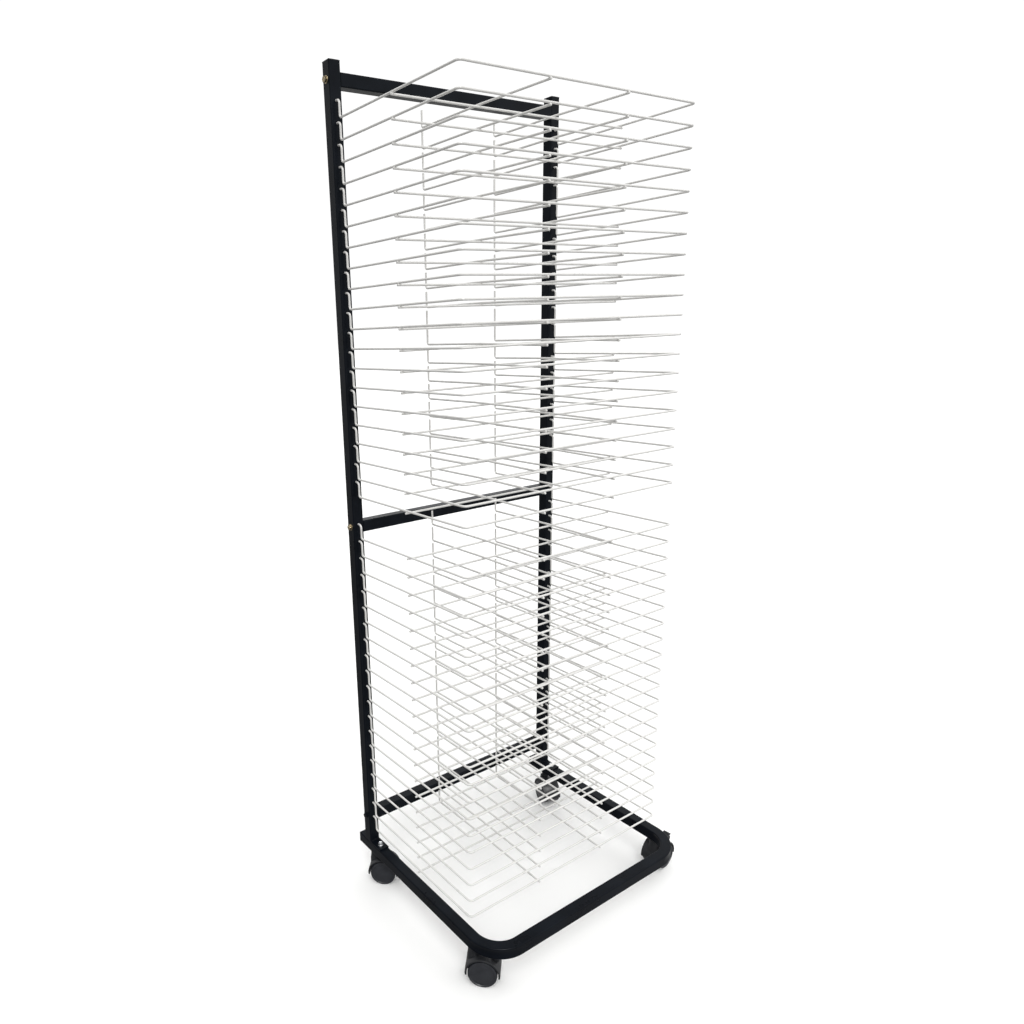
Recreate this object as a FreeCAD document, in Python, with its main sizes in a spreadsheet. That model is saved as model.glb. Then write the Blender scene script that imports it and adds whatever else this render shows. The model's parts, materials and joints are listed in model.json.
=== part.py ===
"""Mobile art drying rack: forty wire shelves hooked on a tube frame that rolls on four casters.

Millimetres.  X runs across the rack, the open front faces -Y and Z is up.  The origin is on the
floor, in the middle of the base.  Every size is a cell of the sheet "Sizes".
"""
import FreeCAD, Part
import math
import os
import re
import Sketcher
from FreeCAD import Placement, Rotation, Vector

SIZES = (
    # tube frame
    ("tube_side", 25, "outside of the square tube"),
    ("tube_wall", 1.2, "wall of the tube"),
    ("tube_corner", 2.5, "outer corner radius of the tube"),
    ("upright_spacing", 567, "between the centres of the two uprights"),
    ("base_depth", 495, "front to rear of the base, plugs included"),
    ("bend_radius", 65, "front bends of the base, on the tube's centre line"),
    ("upright_inset", 27, "rear of the base to the rear of an upright"),
    ("foot_thick", 3, "foot plate under an upright"),
    ("foot_reach", 40, "foot plate in front of the upright"),
    ("top_rail_drop", 20, "top of an upright to the top of the top rail"),
    ("middle_rail_rise", 24.5, "first lower shelf to the middle of the middle rail"),
    ("bottom_rail_rise", 70, "top of the base to the middle of the bottom rail"),
    ("rail_plate", 4, "plate welded in each end of a rail"),
    ("plug_cap", 2, "visible cap of a tube plug"),
    ("plug_depth", 12, "part of a plug inside the tube"),
    ("plug_gap", 0.1, "between a plug and the tube's inside"),
    # shelves
    ("upper_shelves", 20, "shelves above the middle rail"),
    ("lower_shelves", 20, "shelves below the middle rail"),
    ("shelf_pitch", 38, "from one shelf to the next"),
    ("group_gap", 92, "last upper shelf to first lower shelf"),
    ("lowest_shelf", 37, "top of the base to the lowest shelf"),
    ("top_margin", 100, "top shelf to the top of the frame"),
    ("shelf_wire", 4.2, "diameter of the shelf wire"),
    ("shelf_reach", 350, "hanging leg to front wire"),
    ("front_corner", 8, "bend at the two front corners of a shelf"),
    ("elbow_bend", 5, "bend between a shelf's side and its leg"),
    ("hook_bend", 7, "bend at the top of a leg"),
    ("hook_rise", 31, "shelf to the hole that its hook goes through"),
    ("hook_standoff", 10, "leg to the upright's face"),
    ("hook_hole", 6, "diameter of a hook hole"),
    ("tail_bend", 3.5, "bend of the hook's tail inside the upright"),
    ("tail_gap", 0.3, "tail to the upright's inner face"),
    ("tail_rise", 9, "end of the tail above the hook hole"),
    ("weld_lap", 0.1, "depth by which welded wires sink into each other"),
    ("cross_overhang", 4, "cross wire past each side wire's centre"),
    ("inner_overhang", 1, "inner wire's end past the front wire"),
    ("inner_slope_bend", 60, "bend where an inner wire starts to dip"),
    # bolts
    ("rail_bolt", 6, "thread of a rail bolt"),
    ("rail_bolt_head", 10, "across the flats of its head"),
    ("rail_bolt_flange", 14, "diameter of its flange"),
    ("foot_bolt", 6, "thread of a foot bolt"),
    ("foot_bolt_head", 10, "across the flats of its head"),
    ("foot_bolt_flange", 12, "diameter of its flange"),
    ("foot_bolt_reach", 24, "foot bolt in front of the upright"),
    ("foot_bolt_length", 12, "foot bolt below its flange"),
    ("flange_thick", 1.5, "flange of any bolt"),
    ("head_height", 4, "head of any bolt above its flange"),
    ("bolt_gap", 0.2, "between a bolt and a plain hole"),
    ("thread_gap", 0.05, "between a bolt and its thread"),
    ("nut_wide", 13, "diameter of the nuts welded inside the base"),
    ("nut_tall", 6.5, "height of those nuts"),
    # casters
    ("wheel_diameter", 60, "wheel"),
    ("wheel_width", 17.6, "each of the two wheels"),
    ("wheel_round", 2, "rounding of a wheel's rims"),
    ("wheel_gap", 0.4, "wheel to the hood's web"),
    ("web_thick", 12, "hood's web between the wheels"),
    ("hub_radius", 12, "web around the axle"),
    ("hood_gap", 2.5, "wheel's tread to the hood"),
    ("hood_wall", 3.5, "hood over the wheels"),
    ("hood_skirt", 4, "hood below the axle"),
    ("hood_room", 14, "top of the hood to the base"),
    ("axle", 6, "diameter of the axle"),
    ("caster_trail", 21, "stem to axle, level"),
    ("stem", 8, "diameter of the stem"),
    ("stem_boss", 20, "diameter of the hood's boss around the stem"),
    ("stem_bite", 20, "length of stem inside the boss"),
    ("stem_collar", 14, "diameter of the collar under the base"),
    ("collar_thick", 2, "that collar"),
    ("swivel_gap", 0.5, "collar to boss"),
    ("end_gap", 0.3, "stem's end to the bottom of its bore"),
    ("running_gap", 0.05, "round a turning shaft"),
    ("rear_stem_inset", 50, "rear of the base to a rear stem"),
    # the swivels' headings at rest, from +X to the side where the wheels trail
    ("front_left_heading", -46, "degrees"),
    ("front_right_heading", 6, "degrees"),
    ("rear_left_heading", -44, "degrees"),
    ("rear_right_heading", -112, "degrees"),
    # brake levers of the front casters
    ("lever_angle", 50, "degrees, round the axle from level to the lever's pin"),
    ("lever_out", 5, "lever's pin outside the hood"),
    ("lever_width", 17.6, "along the pin"),
    ("lever_gap", 0.3, "lever to the ears that hold it"),
    ("lever_hub", 4.5, "radius round the pin"),
    ("lever_pin", 4, "diameter of the pin"),
    ("ear_thick", 3, "each ear"),
    ("ear_radius", 7, "round the pin, so that the ears sink into the hood"),
    ("pedal_length", 15, "pin to the pedal's end"),
    ("pedal_thick", 3, "pedal"),
    ("pedal_angle", 20, "degrees above level, brake off"),
    ("nose_reach", 8.7, "pin to the middle of the round nose"),
    ("nose_radius", 2, "nose that presses on the wheels"),
    ("nose_swing", 25, "degrees from brake off to brake on"),
    ("nose_room", 0.8, "round the swinging nose"),
)

PLACES = (
    ("tube_inside", "tube_side - 2 * tube_wall"),
    ("rear_edge", "base_depth / 2"),
    ("front_tube_line", "tube_side / 2 - base_depth / 2"),
    ("upright_line", "rear_edge - upright_inset - tube_side / 2"),
    ("upright_face", "upright_line - tube_side / 2"),
    ("axle_height", "wheel_diameter / 2"),
    ("hood_inside", "wheel_diameter / 2 + hood_gap"),
    ("hood_outside", "hood_inside + hood_wall"),
    ("caster_width", "web_thick + 2 * wheel_gap + 2 * wheel_width"),
    ("base_under", "axle_height + hood_outside + hood_room"),
    ("base_line", "base_under + tube_side / 2"),
    ("base_top", "base_under + tube_side"),
    ("boss_top", "base_under - collar_thick - swivel_gap"),
    ("foot_bolt_line", "upright_face - foot_bolt_reach"),
    ("front_stem_line", "front_tube_line + bend_radius"),
    ("rear_stem_line", "rear_edge - rear_stem_inset"),
    ("lower_bottom", "base_top + lowest_shelf"),
    ("lower_top", "lower_bottom + (lower_shelves - 1) * shelf_pitch"),
    ("upper_bottom", "lower_top + group_gap"),
    ("upper_top", "upper_bottom + (upper_shelves - 1) * shelf_pitch"),
    ("frame_top", "upper_top + top_margin"),
    ("tube_top", "frame_top - plug_cap"),
    ("upright_length", "tube_top - base_top"),
    ("rail_length", "upright_spacing - tube_side"),
    ("rail_reach", "upright_spacing / 2 + tube_side / 2"),
    ("top_rail_line", "frame_top - top_rail_drop - tube_side / 2"),
    ("middle_rail_line", "lower_top + middle_rail_rise"),
    ("bottom_rail_line", "base_top + bottom_rail_rise"),
    ("rail_bolt_length", "tube_side + rail_plate"),
    ("ear_reach", "lever_width / 2 + lever_gap + ear_thick"),
    ("pin_round", "hood_outside + lever_out"),
    ("pin_line", "caster_trail + pin_round * cos(lever_angle * 1deg)"),
    ("pin_height", "axle_height + pin_round * sin(lever_angle * 1deg)"),
    ("nose_angle", "180 + lever_angle + nose_swing"),
    ("nose_line", "pin_line + nose_reach * cos(nose_angle * 1deg)"),
    ("nose_height", "pin_height + nose_reach * sin(nose_angle * 1deg)"),
)

SIDES = {"left": -1, "right": 1}
RAILS = ("top", "middle", "bottom")
CASTERS = (
    ("front_left", "left", "front_stem_line", True),
    ("front_right", "right", "front_stem_line", True),
    ("rear_left", "left", "rear_stem_line", False),
    ("rear_right", "right", "rear_stem_line", False),
)
X_AXIS = Vector(1, 0, 0)
Y_AXIS = Vector(0, 1, 0)
Z_AXIS = Vector(0, 0, 1)
TO_REAR = Rotation(X_AXIS, -90)

doc = FreeCAD.newDocument("drying_rack")


def make_sheet():
    """Driving sizes as plain numbers, then the places worked out from them."""
    sheet = doc.addObject("Spreadsheet::Sheet", "Sizes")
    for row, (name, value, note) in enumerate(SIZES, 1):
        sheet.set(f"A{row}", name)
        sheet.set(f"B{row}", str(value))
        sheet.set(f"C{row}", note)
        sheet.setAlias(f"B{row}", name)
    for row, (name, formula) in enumerate(PLACES, len(SIZES) + 1):
        sheet.set(f"A{row}", name)
        sheet.set(f"B{row}", "=" + formula)
        sheet.setAlias(f"B{row}", name)
    doc.recompute()
    return sheet


sheet = make_sheet()


def size(name):
    """A cell of the sheet as a plain number."""
    return float(sheet.get(name))


def terms(expression):
    """The expression with each size's name pointing at the sheet."""
    names = "|".join(row[0] for row in SIZES + PLACES)
    return re.sub(rf"\b({names})\b", r"Sizes.\1", expression)


def bind(thing, **expressions):
    """Tie properties to the sheet: x, y and z are the place and turn is the rotation's angle."""
    paths = {"turn": "Placement.Rotation.Angle"}
    for key, expression in expressions.items():
        path = "Placement.Base." + key if key in "xyz" else paths.get(key, key)
        thing.setExpression(path, terms(expression))
    return thing


def across(side):
    """Middle line of the left or right upright."""
    return f"{SIDES[side]} * upright_spacing / 2"


# ---- sketches and features of a body ------------------------------------------------------

def new_body(label):
    """An empty body, which becomes one piece."""
    body = doc.addObject("PartDesign::Body", label)
    body.Label = label
    return body


def new_sketch(body, plane, **offsets):
    """A sketch on an origin plane of the body, moved by offsets along its own axes."""
    sketch = body.newObject("Sketcher::SketchObject", body.Label + "_sketch")
    planes = {feature.Role: feature for feature in body.Origin.OriginFeatures}
    sketch.AttachmentSupport = [(planes[plane], "")]
    sketch.MapMode = "FlatFace"
    for key, expression in offsets.items():
        sketch.setExpression("AttachmentOffset.Base." + key, terms(expression))
    return sketch


def hold(sketch, kind, *places):
    """A constraint whose last argument is an expression of the sheet."""
    expression = terms(places[-1])
    value = float(sketch.evalExpression(expression))
    index = sketch.addConstraint(Sketcher.Constraint(kind, *places[:-1], value))
    sketch.setExpression(f"Constraints[{index}]", expression)


def tie(sketch, kind, *places):
    """A constraint with no value."""
    sketch.addConstraint(Sketcher.Constraint(kind, *places))


def rounded_square(sketch, side, corner):
    """A centred square outline with round corners."""
    half = float(sketch.evalExpression(terms(side))) / 2
    bend = float(sketch.evalExpression(terms(corner)))
    reach = half - bend
    first = sketch.GeometryCount
    for quarter in range(4):
        spin = Rotation(Z_AXIS, 90 * quarter)
        start = spin.multVec(Vector(-reach, -half, 0))
        end = spin.multVec(Vector(reach, -half, 0))
        sketch.addGeometry(Part.LineSegment(start, end))
        circle = Part.Circle(spin.multVec(Vector(reach, -reach, 0)), Z_AXIS, bend)
        angle = math.radians(90 * quarter)
        sketch.addGeometry(Part.ArcOfCircle(circle, angle - math.pi / 2, angle))
    for quarter in range(4):
        line = first + 2 * quarter
        following = first + (2 * quarter + 2) % 8
        tie(sketch, "Tangent", line, 2, line + 1, 1)
        tie(sketch, "Tangent", line + 1, 2, following, 1)
        tie(sketch, "Vertical" if quarter % 2 else "Horizontal", line)
        if quarter:
            tie(sketch, "Equal", first + 1, line + 1)
    tie(sketch, "Equal", first, first + 2)
    tie(sketch, "Symmetric", first + 1, 3, first + 5, 3, -1, 1)
    hold(sketch, "DistanceX", first + 6, 1, first + 2, 1, side)
    hold(sketch, "Radius", first + 1, corner)


def rectangle(sketch, left, bottom, right, top):
    """An outline with level and upright sides."""
    values = [float(sketch.evalExpression(terms(edge))) for edge in (left, bottom, right, top)]
    corners = [Vector(values[i], values[j], 0) for i, j in ((0, 1), (2, 1), (2, 3), (0, 3))]
    first = sketch.GeometryCount
    for number in range(4):
        sketch.addGeometry(Part.LineSegment(corners[number], corners[(number + 1) % 4]))
    for number in range(4):
        tie(sketch, "Coincident", first + number, 2, first + (number + 1) % 4, 1)
        tie(sketch, "Vertical" if number % 2 else "Horizontal", first + number)
    hold(sketch, "DistanceX", -1, 1, first, 1, left)
    hold(sketch, "DistanceY", -1, 1, first, 1, bottom)
    hold(sketch, "DistanceX", -1, 1, first + 2, 1, right)
    hold(sketch, "DistanceY", -1, 1, first + 2, 1, top)


def circle_at(sketch, x, y, radius):
    """A circle whose centre and radius follow the sheet."""
    centre = Vector(*(float(sketch.evalExpression(terms(place))) for place in (x, y)), 0)
    index = sketch.addGeometry(Part.Circle(centre, Z_AXIS, 1))
    hold(sketch, "DistanceX", -1, 1, index, 3, x)
    hold(sketch, "DistanceY", -1, 1, index, 3, y)
    hold(sketch, "Radius", index, radius)


def feature(body, kind, sketch, length=None, both=False, other_way=False):
    """A pad or pocket of the sketch: both ways if asked, and through everything with no length."""
    made = body.newObject("PartDesign::" + kind, f"{body.Label}_{kind.lower()}")
    made.Profile = sketch
    if length is None:
        made.Type = "ThroughAll"
    else:
        made.setExpression("Length", terms(length))
    made.SideType = "Symmetric" if both else "One side"
    made.Reversed = other_way
    sketch.Visibility = False
    return made


def cylinder(label, radius, height, axis=None, **place):
    """A cylinder standing on its place, or lying along an axis that the rotation gives."""
    made = doc.addObject("Part::Cylinder", label)
    if axis is not None:
        made.Placement = Placement(Vector(), axis)
    return bind(made, Radius=radius, Height=height, **place)


def group(kind, label, pieces):
    """A fuse or compound of other objects."""
    made = doc.addObject("Part::" + kind, label)
    made.Label = label
    setattr(made, "Links" if kind == "Compound" else "Shapes", pieces)
    return made


# ---- frame --------------------------------------------------------------------------------

def tube_outline(sketch):
    """Section of the square tube."""
    rounded_square(sketch, "tube_side", "tube_corner")
    rounded_square(sketch, "tube_inside", "tube_corner - tube_wall")


def hook_holes(body, height, count):
    """A row of hook holes through the front wall, one shelf apart."""
    sketch = new_sketch(body, "XZ_Plane")
    circle_at(sketch, "0", height + " + hook_rise - base_top", "hook_hole / 2")
    first = feature(body, "Pocket", sketch, "tube_side", other_way=True)
    row = body.newObject("PartDesign::LinearPattern", body.Label + "_hook_row")
    row.Originals = [first]
    row.Direction = (sketch, ["V_Axis"])
    row.Mode = "Spacing"
    row.setExpression("Offset", terms("shelf_pitch"))
    row.setExpression("Occurrences", terms(count))
    body.Tip = row


def upright(side):
    """Square tube welded on a foot plate, with its origin on the plate's underside."""
    body = new_body(side + "_upright")
    plate = new_sketch(body, "XY_Plane")
    edge = "tube_side / 2"
    rectangle(plate, "-" + edge, "-" + edge + " - foot_reach", edge, edge)
    circle_at(plate, "0", "-" + edge + " - foot_bolt_reach", "foot_bolt / 2 + bolt_gap")
    feature(body, "Pad", plate, "foot_thick")
    outline = new_sketch(body, "XY_Plane", z="foot_thick")
    tube_outline(outline)
    feature(body, "Pad", outline, "upright_length - foot_thick")
    bolts = new_sketch(body, "YZ_Plane")
    for rail in RAILS:
        circle_at(bolts, "0", rail + "_rail_line - base_top", "rail_bolt / 2 + bolt_gap")
    feature(body, "Pocket", bolts, both=True)
    hook_holes(body, "lower_bottom", "lower_shelves")
    hook_holes(body, "upper_bottom", "upper_shelves")
    return bind(body, x=across(side), y="upright_line", z="base_top")


def rail(name):
    """Square tube across the rack, closed by a tapped plate at each end."""
    body = new_body(name + "_rail")
    bar = new_sketch(body, "YZ_Plane")
    rounded_square(bar, "tube_side", "tube_corner")
    feature(body, "Pad", bar, "rail_length", both=True)
    hollow = new_sketch(body, "YZ_Plane")
    rounded_square(hollow, "tube_inside", "tube_corner - tube_wall")
    feature(body, "Pocket", hollow, "rail_length - 2 * rail_plate", both=True)
    thread = new_sketch(body, "YZ_Plane")
    circle_at(thread, "0", "0", "rail_bolt / 2 + thread_gap")
    feature(body, "Pocket", thread, both=True)
    return bind(body, y="upright_line", z=name + "_rail_line")


def base_path(body):
    """Centre line of the base: two legs and a front run, joined by two bends."""
    sketch = new_sketch(body, "XY_Plane")
    wide = size("upright_spacing") / 2
    front = size("front_tube_line")
    rear = size("rear_edge") - size("plug_cap")
    bend = size("bend_radius")
    sketch.addGeometry(Part.LineSegment(Vector(-wide, rear, 0), Vector(-wide, front + bend, 0)))
    left = Part.Circle(Vector(bend - wide, front + bend, 0), Z_AXIS, bend)
    sketch.addGeometry(Part.ArcOfCircle(left, math.pi, 1.5 * math.pi))
    sketch.addGeometry(Part.LineSegment(Vector(bend - wide, front, 0), Vector(wide - bend, front, 0)))
    right = Part.Circle(Vector(wide - bend, front + bend, 0), Z_AXIS, bend)
    sketch.addGeometry(Part.ArcOfCircle(right, 1.5 * math.pi, 2 * math.pi))
    sketch.addGeometry(Part.LineSegment(Vector(wide, front + bend, 0), Vector(wide, rear, 0)))
    for number in range(4):
        tie(sketch, "Tangent", number, 2, number + 1, 1)
    tie(sketch, "Vertical", 0)
    tie(sketch, "Horizontal", 2)
    tie(sketch, "Vertical", 4)
    tie(sketch, "Equal", 1, 3)
    hold(sketch, "Radius", 1, "bend_radius")
    hold(sketch, "DistanceX", -1, 1, 0, 1, across("left"))
    hold(sketch, "DistanceY", -1, 1, 0, 1, "rear_edge - plug_cap")
    hold(sketch, "DistanceY", -1, 1, 2, 1, "front_tube_line")
    hold(sketch, "DistanceX", -1, 1, 4, 2, across("right"))
    hold(sketch, "DistanceY", -1, 1, 4, 2, "rear_edge - plug_cap")
    return sketch


def welded_nuts(body, places, thread, below):
    """Round nuts welded inside the tube, on its lower or upper wall, and the holes to them."""
    level = "tube_inside / 2"
    nuts = new_sketch(body, "XY_Plane", z="-" + level if below else level)
    holes = new_sketch(body, "XY_Plane")
    for side, line in places:
        circle_at(nuts, across(side), line, "nut_wide / 2")
        circle_at(nuts, across(side), line, thread + " / 2 + thread_gap")
        circle_at(holes, across(side), line, thread + " / 2 + thread_gap")
    feature(body, "Pad", nuts, "nut_tall", other_way=not below)
    feature(body, "Pocket", holes, "tube_side", other_way=not below)


def base():
    """Bent tube, open at the rear, with its origin in the middle of the tube's height."""
    body = new_body("base_tube")
    path = base_path(body)
    outline = new_sketch(body, "XZ_Plane", x=across("left"), z="plug_cap - rear_edge")
    tube_outline(outline)
    pipe = body.newObject("PartDesign::AdditivePipe", "base_pipe")
    pipe.Profile = outline
    pipe.Spine = (path, [])
    welded_nuts(body, [(side, line) for _, side, line, _ in CASTERS], "stem", True)
    welded_nuts(body, [(side, "foot_bolt_line") for side in SIDES], "foot_bolt", False)
    return bind(body, z="base_line")


# ---- bolts, plugs and stems ---------------------------------------------------------------

def bolt(label, thread, length, turned, **place):
    """Flanged hexagon bolt with its origin under the flange and its head along its own +Z."""
    shank = cylinder(label + "_shank", thread + " / 2", length, z="-" + length)
    flange = cylinder(label + "_flange", thread + "_flange / 2", "flange_thick")
    head = doc.addObject("Part::Prism", label + "_head")
    head.Polygon = 6
    wide = thread + "_head / 2 / cos(30deg)"
    bind(head, Circumradius=wide, Height="head_height", z="flange_thick")
    made = group("MultiFuse", label, [shank, flange, head])
    made.Placement = Placement(Vector(), turned)
    return bind(made, **place)


def rail_bolts():
    """One bolt through each upright into each end of the three rails."""
    made = []
    for side, way in SIDES.items():
        for name in RAILS:
            place = {"x": f"{way} * rail_reach", "y": "upright_line", "z": name + "_rail_line"}
            outward = Rotation(Y_AXIS, 90 * way)
            label = f"{side}_{name}_bolt"
            made.append(bolt(label, "rail_bolt", "rail_bolt_length", outward, **place))
    return group("Compound", "rail_bolts", made)


def foot_bolts():
    """One bolt through each foot plate into the base."""
    made = []
    for side in SIDES:
        place = {"x": across(side), "y": "foot_bolt_line", "z": "base_top + foot_thick"}
        made.append(bolt(side + "_foot_bolt", "foot_bolt", "foot_bolt_length", Rotation(), **place))
    return group("Compound", "foot_bolts", made)


def plug(label, turned, **place):
    """Square plug with its cap along its own +Z and its origin on the end of the tube."""
    body = new_body(label)
    cap = new_sketch(body, "XY_Plane")
    rounded_square(cap, "tube_side", "tube_corner")
    feature(body, "Pad", cap, "plug_cap")
    core = new_sketch(body, "XY_Plane")
    rounded_square(core, "tube_inside - 2 * plug_gap", "tube_corner - tube_wall")
    feature(body, "Pad", core, "plug_depth", other_way=True)
    body.Placement = Placement(Vector(), turned)
    return bind(body, **place)


def tube_plugs():
    """Plugs in the tops of the uprights and the rear ends of the base."""
    made = []
    for side in SIDES:
        top = {"x": across(side), "y": "upright_line", "z": "tube_top"}
        rear = {"x": across(side), "y": "rear_edge - plug_cap", "z": "base_line"}
        made.append(plug(side + "_top_plug", Rotation(), **top))
        made.append(plug(side + "_rear_plug", TO_REAR, **rear))
    return group("Compound", "tube_plugs", made)


def caster_stems():
    """Collared stems screwed into the base, which the casters swivel on."""
    made = []
    lowest = "boss_top - stem_bite"
    highest = "base_under + tube_wall + nut_tall"
    for name, side, line, _ in CASTERS:
        length = f"{highest} - ({lowest})"
        shank = cylinder(name + "_shank", "stem / 2", length, z=lowest)
        level = "base_under - collar_thick"
        collar = cylinder(name + "_collar", "stem_collar / 2", "collar_thick", z=level)
        piece = group("MultiFuse", name + "_stem", [shank, collar])
        made.append(bind(piece, x=across(side), y=line))
    return group("Compound", "caster_stems", made)


# ---- casters: each is drawn with its stem on the Z axis and its wheels trailing to +X -----

def head_for(thing, name, side, line):
    """Put a caster's piece under its stem, turned to its heading."""
    thing.Placement = Placement(Vector(), Rotation(Z_AXIS, 1))
    return bind(thing, x=across(side), y=line, turn=name + "_heading")


def hood(name, braked):
    """Hood and web in one moulding, with a boss for the stem and ears for a brake lever."""
    body = new_body(name + "_hood")
    arch = new_sketch(body, "XZ_Plane")
    circle_at(arch, "caster_trail", "axle_height", "hood_outside")
    feature(body, "Pad", arch, "caster_width", both=True)
    below = new_sketch(body, "XZ_Plane")
    skirt = "axle_height - hood_skirt"
    front = "caster_trail - 2 * hood_outside"
    rectangle(below, front, "-hood_outside", "caster_trail + 2 * hood_outside", skirt)
    feature(body, "Pocket", below, both=True)
    hub = new_sketch(body, "XZ_Plane")
    circle_at(hub, "caster_trail", "axle_height", "hub_radius")
    feature(body, "Pad", hub, "web_thick", both=True)
    boss = new_sketch(body, "XY_Plane", z="axle_height")
    circle_at(boss, "0", "0", "stem_boss / 2")
    feature(body, "Pad", boss, "boss_top - axle_height")
    if braked:
        ears = new_sketch(body, "XZ_Plane")
        circle_at(ears, "pin_line", "pin_height", "ear_radius")
        feature(body, "Pad", ears, "2 * ear_reach", both=True)
    for way in SIDES.values():
        well = new_sketch(body, "XZ_Plane", z=f"{way} * web_thick / 2")
        circle_at(well, "caster_trail", "axle_height", "hood_inside")
        feature(body, "Pocket", well, "caster_width", other_way=way > 0)
    bore = new_sketch(body, "XY_Plane", z="boss_top")
    circle_at(bore, "0", "0", "stem / 2 + running_gap")
    feature(body, "Pocket", bore, "stem_bite + end_gap")
    shaft = new_sketch(body, "XZ_Plane")
    circle_at(shaft, "caster_trail", "axle_height", "axle / 2 + running_gap")
    if braked:
        circle_at(shaft, "pin_line", "pin_height", "lever_pin / 2 + running_gap")
    feature(body, "Pocket", shaft, both=True)
    if braked:
        slot = new_sketch(body, "XZ_Plane")
        circle_at(slot, "pin_line", "pin_height", "nose_reach + nose_radius + nose_room")
        feature(body, "Pocket", slot, "lever_width + 2 * lever_gap", both=True)
    return body


def wheels(name):
    """Two wheels pressed on one axle."""
    body = new_body(name + "_wheels")
    shaft = new_sketch(body, "XZ_Plane")
    circle_at(shaft, "caster_trail", "axle_height", "axle / 2")
    feature(body, "Pad", shaft, "web_thick + 2 * wheel_gap + wheel_width", both=True)
    for way in SIDES.values():
        tread = new_sketch(body, "XZ_Plane", z=f"{way} * ( web_thick / 2 + wheel_gap )")
        circle_at(tread, "caster_trail", "axle_height", "wheel_diameter / 2")
        wheel = feature(body, "Pad", tread, "wheel_width", other_way=way < 0)
    doc.recompute()
    radius = size("wheel_diameter") / 2
    rims = [
        f"Edge{number}"
        for number, edge in enumerate(wheel.Shape.Edges, 1)
        if isinstance(edge.Curve, Part.Circle) and abs(edge.Curve.Radius - radius) < 1e-6
    ]
    rounding = body.newObject("PartDesign::Fillet", name + "_rims")
    rounding.Base = (wheel, rims)
    rounding.setExpression("Radius", terms("wheel_round"))
    return body


def lever_arm(label, length, thick, angle):
    """Flat arm from the lever's pin, tilted up from level by the angle in degrees."""
    arm = doc.addObject("Part::Box", label)
    arm.Placement = Placement(Vector(), Rotation(Y_AXIS, 1))
    half = thick + " / 2"
    x = f"pin_line + {half} * sin( {angle} * 1deg )"
    z = f"pin_height - {half} * cos( {angle} * 1deg )"
    bind(arm, Length=length, Width="lever_width", Height=thick, turn=f"0 - {angle}")
    return bind(arm, x=x, y="-lever_width / 2", z=z)


def brake_lever(name):
    """Pedal with a nose that its hub swings down onto both wheels."""
    label = name + "_brake_lever"
    half = "-lever_width / 2"
    pin = {"x": "pin_line", "y": half, "z": "pin_height"}
    ends = {"x": "pin_line", "y": "-ear_reach", "z": "pin_height"}
    tip = {"x": "nose_line", "y": half, "z": "nose_height"}
    pieces = [
        cylinder(label + "_hub", "lever_hub", "lever_width", TO_REAR, **pin),
        cylinder(label + "_pin", "lever_pin / 2", "2 * ear_reach", TO_REAR, **ends),
        lever_arm(label + "_pedal", "pedal_length", "pedal_thick", "pedal_angle"),
        lever_arm(label + "_shank", "nose_reach", "2 * nose_radius", "nose_angle"),
        cylinder(label + "_nose", "nose_radius", "lever_width", TO_REAR, **tip),
    ]
    return group("MultiFuse", label, pieces)


def casters():
    """Hood and wheels of every caster, and the brake levers of the front ones."""
    made = []
    for name, side, line, braked in CASTERS:
        pieces = [hood(name, braked), wheels(name)]
        if braked:
            pieces.append(brake_lever(name))
        made += [head_for(piece, name, side, line) for piece in pieces]
    return made


# ---- shelves ------------------------------------------------------------------------------

def bent_path(points, radii):
    """Straight runs joined at the inner points by tangent arcs of the given radii."""
    edges = []
    start = points[0]
    for before, corner, after, radius in zip(points, points[1:], points[2:], radii):
        back = (before - corner).normalize()
        ahead = (after - corner).normalize()
        half = back.getAngle(ahead) / 2
        cut = radius / math.tan(half)
        middle = (back + ahead).normalize() * (radius / math.sin(half) - radius)
        end = corner + back * cut
        leave = corner + ahead * cut
        edges.append(Part.LineSegment(start, end).toShape())
        edges.append(Part.Arc(end, corner + middle, leave).toShape())
        start = leave
    edges.append(Part.LineSegment(start, points[-1]).toShape())
    return Part.Wire(edges)


def bent_wire(points, radii):
    """Round wire swept along a bent path."""
    along = (points[1] - points[0]).normalize()
    section = Part.Wire(Part.Circle(points[0], along, size("shelf_wire") / 2).toShape())
    return bent_path(points, radii).makePipeShell([section], True, True)


def shelf_shape():
    """Four welded wires of one shelf: z = 0 is its plane and y = 0 the uprights' front face.

    The outer wire runs from one hook's tail round the front to the other.  Two inner wires
    hang down like the legs, run forward and dip under the front wire.  A cross wire carries
    them halfway.
    """
    wide = size("upright_spacing") / 2
    leg = -size("hook_standoff")
    front = leg - size("shelf_reach")
    halfway = leg - size("shelf_reach") / 2
    rise = size("hook_rise")
    tail = size("tube_wall") + size("tail_gap") + size("shelf_wire") / 2
    under = size("weld_lap") - size("shelf_wire")

    def side_points(x):
        ends = ((tail, rise + size("tail_rise")), (tail, rise), (leg, rise), (leg, 0), (front, 0))
        return [Vector(x, y, z) for y, z in ends]

    bends = [size(name) for name in ("tail_bend", "hook_bend", "elbow_bend", "front_corner")]
    outer = bent_wire(side_points(-wide) + side_points(wide)[::-1], bends + bends[::-1])
    inner_wires = []
    for x in (-wide / 3, wide / 3):
        end = front - size("shelf_wire") / 2 - size("inner_overhang")
        points = [Vector(x, *place) for place in ((leg, rise), (leg, 0), (halfway, 0), (end, under))]
        inner_wires.append(bent_wire(points, [size("elbow_bend"), size("inner_slope_bend")]))
    reach = wide + size("cross_overhang")
    start = Vector(-reach, halfway, under)
    cross = Part.makeCylinder(size("shelf_wire") / 2, 2 * reach, start, X_AXIS)
    return Part.makeCompound([outer, *inner_wires, cross])


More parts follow.
